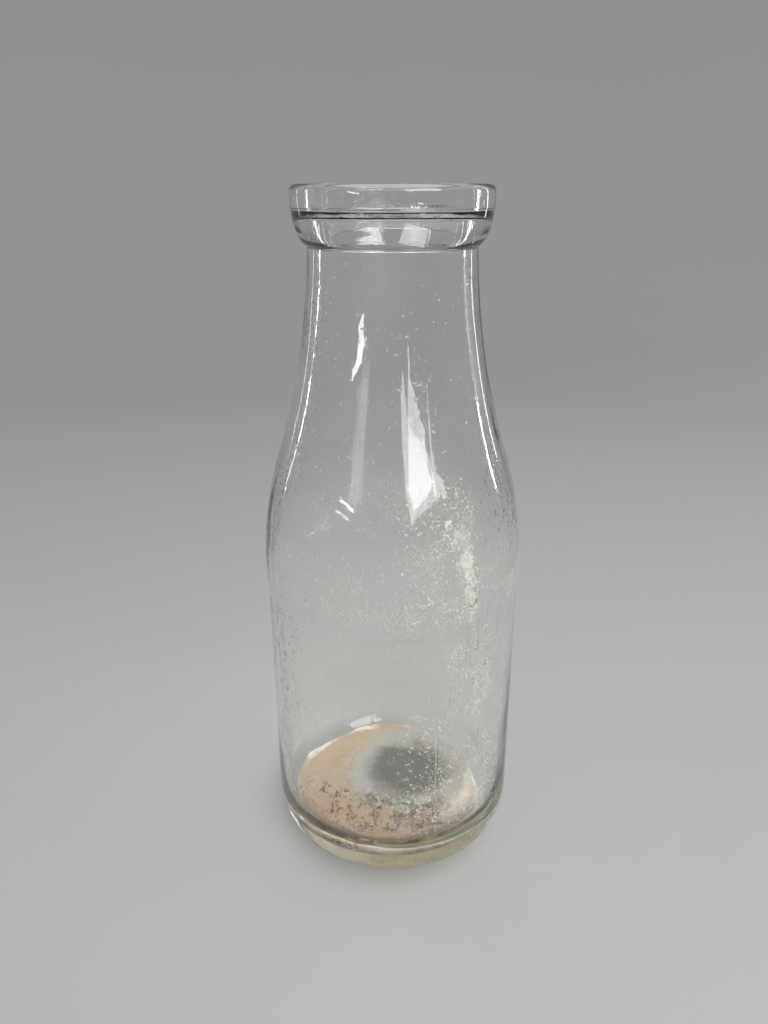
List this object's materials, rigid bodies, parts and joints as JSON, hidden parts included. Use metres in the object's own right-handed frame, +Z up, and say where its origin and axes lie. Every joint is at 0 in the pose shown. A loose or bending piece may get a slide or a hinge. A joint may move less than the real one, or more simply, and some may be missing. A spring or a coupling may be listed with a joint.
{
  "type": "glass milk bottle",
  "caption": "Clear round one-pint milk bottle with a wide beaded mouth, an inner seat for a card disc, and dried deposits inside.",
  "frame": {"origin": "on the bottle's axis, on the plane that it stands on", "axes": "+Z up along the axis, out of the mouth; +X to the right and +Y to the back as the bottle is seen from its front, with the wall scale on the right"},
  "size_m": [0.0798, 0.0798, 0.21],
  "materials": {
    "glass": "clear with a faint grey-green tint, glossy, scuffed round the contact band",
    "crust": "matt, dry, pinkish tan with dark specks",
    "film": "matt, chalky, thin and patchy",
    "scale": "matt, chalky, speckled"
  },
  "bodies": {
    "root": {"glass_bottle": "glass", "floor_crust": "crust", "floor_film": "film", "wall_scale": "scale"}
  },
  "joints": []
}
